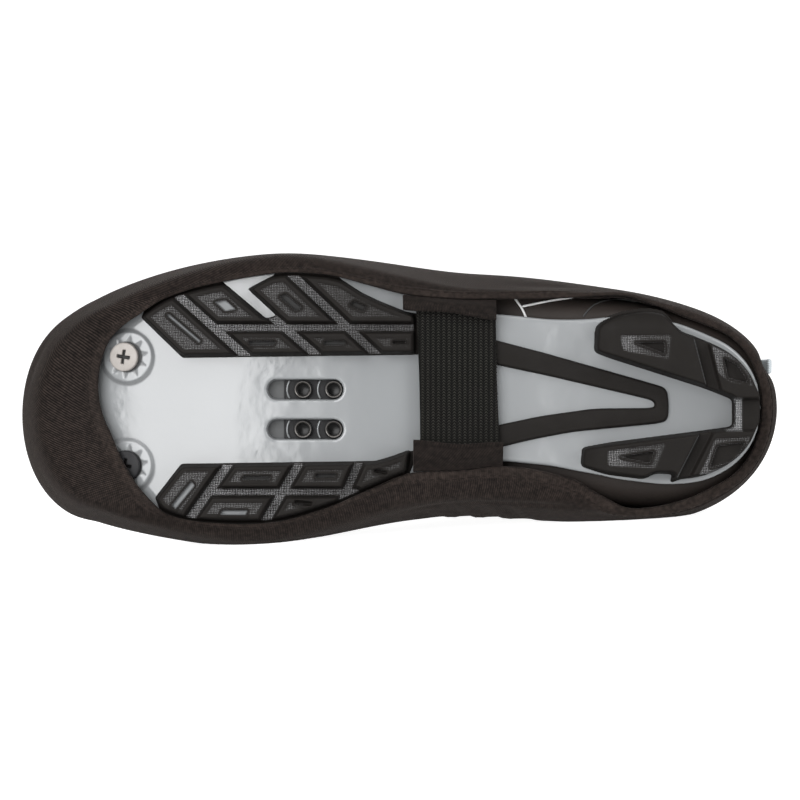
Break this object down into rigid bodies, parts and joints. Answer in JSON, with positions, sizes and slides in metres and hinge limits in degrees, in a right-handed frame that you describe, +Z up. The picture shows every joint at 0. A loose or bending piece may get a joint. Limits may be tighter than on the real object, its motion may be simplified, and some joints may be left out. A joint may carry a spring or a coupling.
{
  "type": "cycling overshoe",
  "caption": "Stretch cycling overshoe drawn over a clipless shoe, open under the forefoot and heel so that treads, cleat bed and toe studs stay clear, held by an elastic strap under the arch.",
  "frame": {"origin": "middle of the bounding box on the floor that the overshoe lies on", "axes": "the overshoe lies on its medial side: +X runs from toe to heel, +Y from sole to collar, +Z up from the floor towards the lateral side"},
  "size_m": [0.2738, 0.1738, 0.1022],
  "materials": {
    "softshell": "matt stretch knit",
    "synthetic": "satin synthetic leather",
    "nylon": "moulded, glossy",
    "black_steel": "blackened",
    "steel": "plated",
    "foam": "brushed foam",
    "rubber": "moulded, matt",
    "webbing": "ribbed elastic",
    "reflective": "reflective tape"
  },
  "bodies": {
    "root": {"cover": "softshell", "shoe_upper": "synthetic", "sole_plate": "nylon", "cleat_nut_plate": "black_steel", "toe_stud_lateral": "steel", "toe_stud_medial": "black_steel", "insole": "foam", "forefoot_tread_lateral": "rubber", "forefoot_tread_medial": "rubber", "heel_tread": "rubber", "arch_strip": "rubber", "strap": "webbing", "strap_tab_lateral": "softshell", "strap_tab_medial": "softshell", "heel_pull_loop": "reflective"}
  },
  "joints": []
}
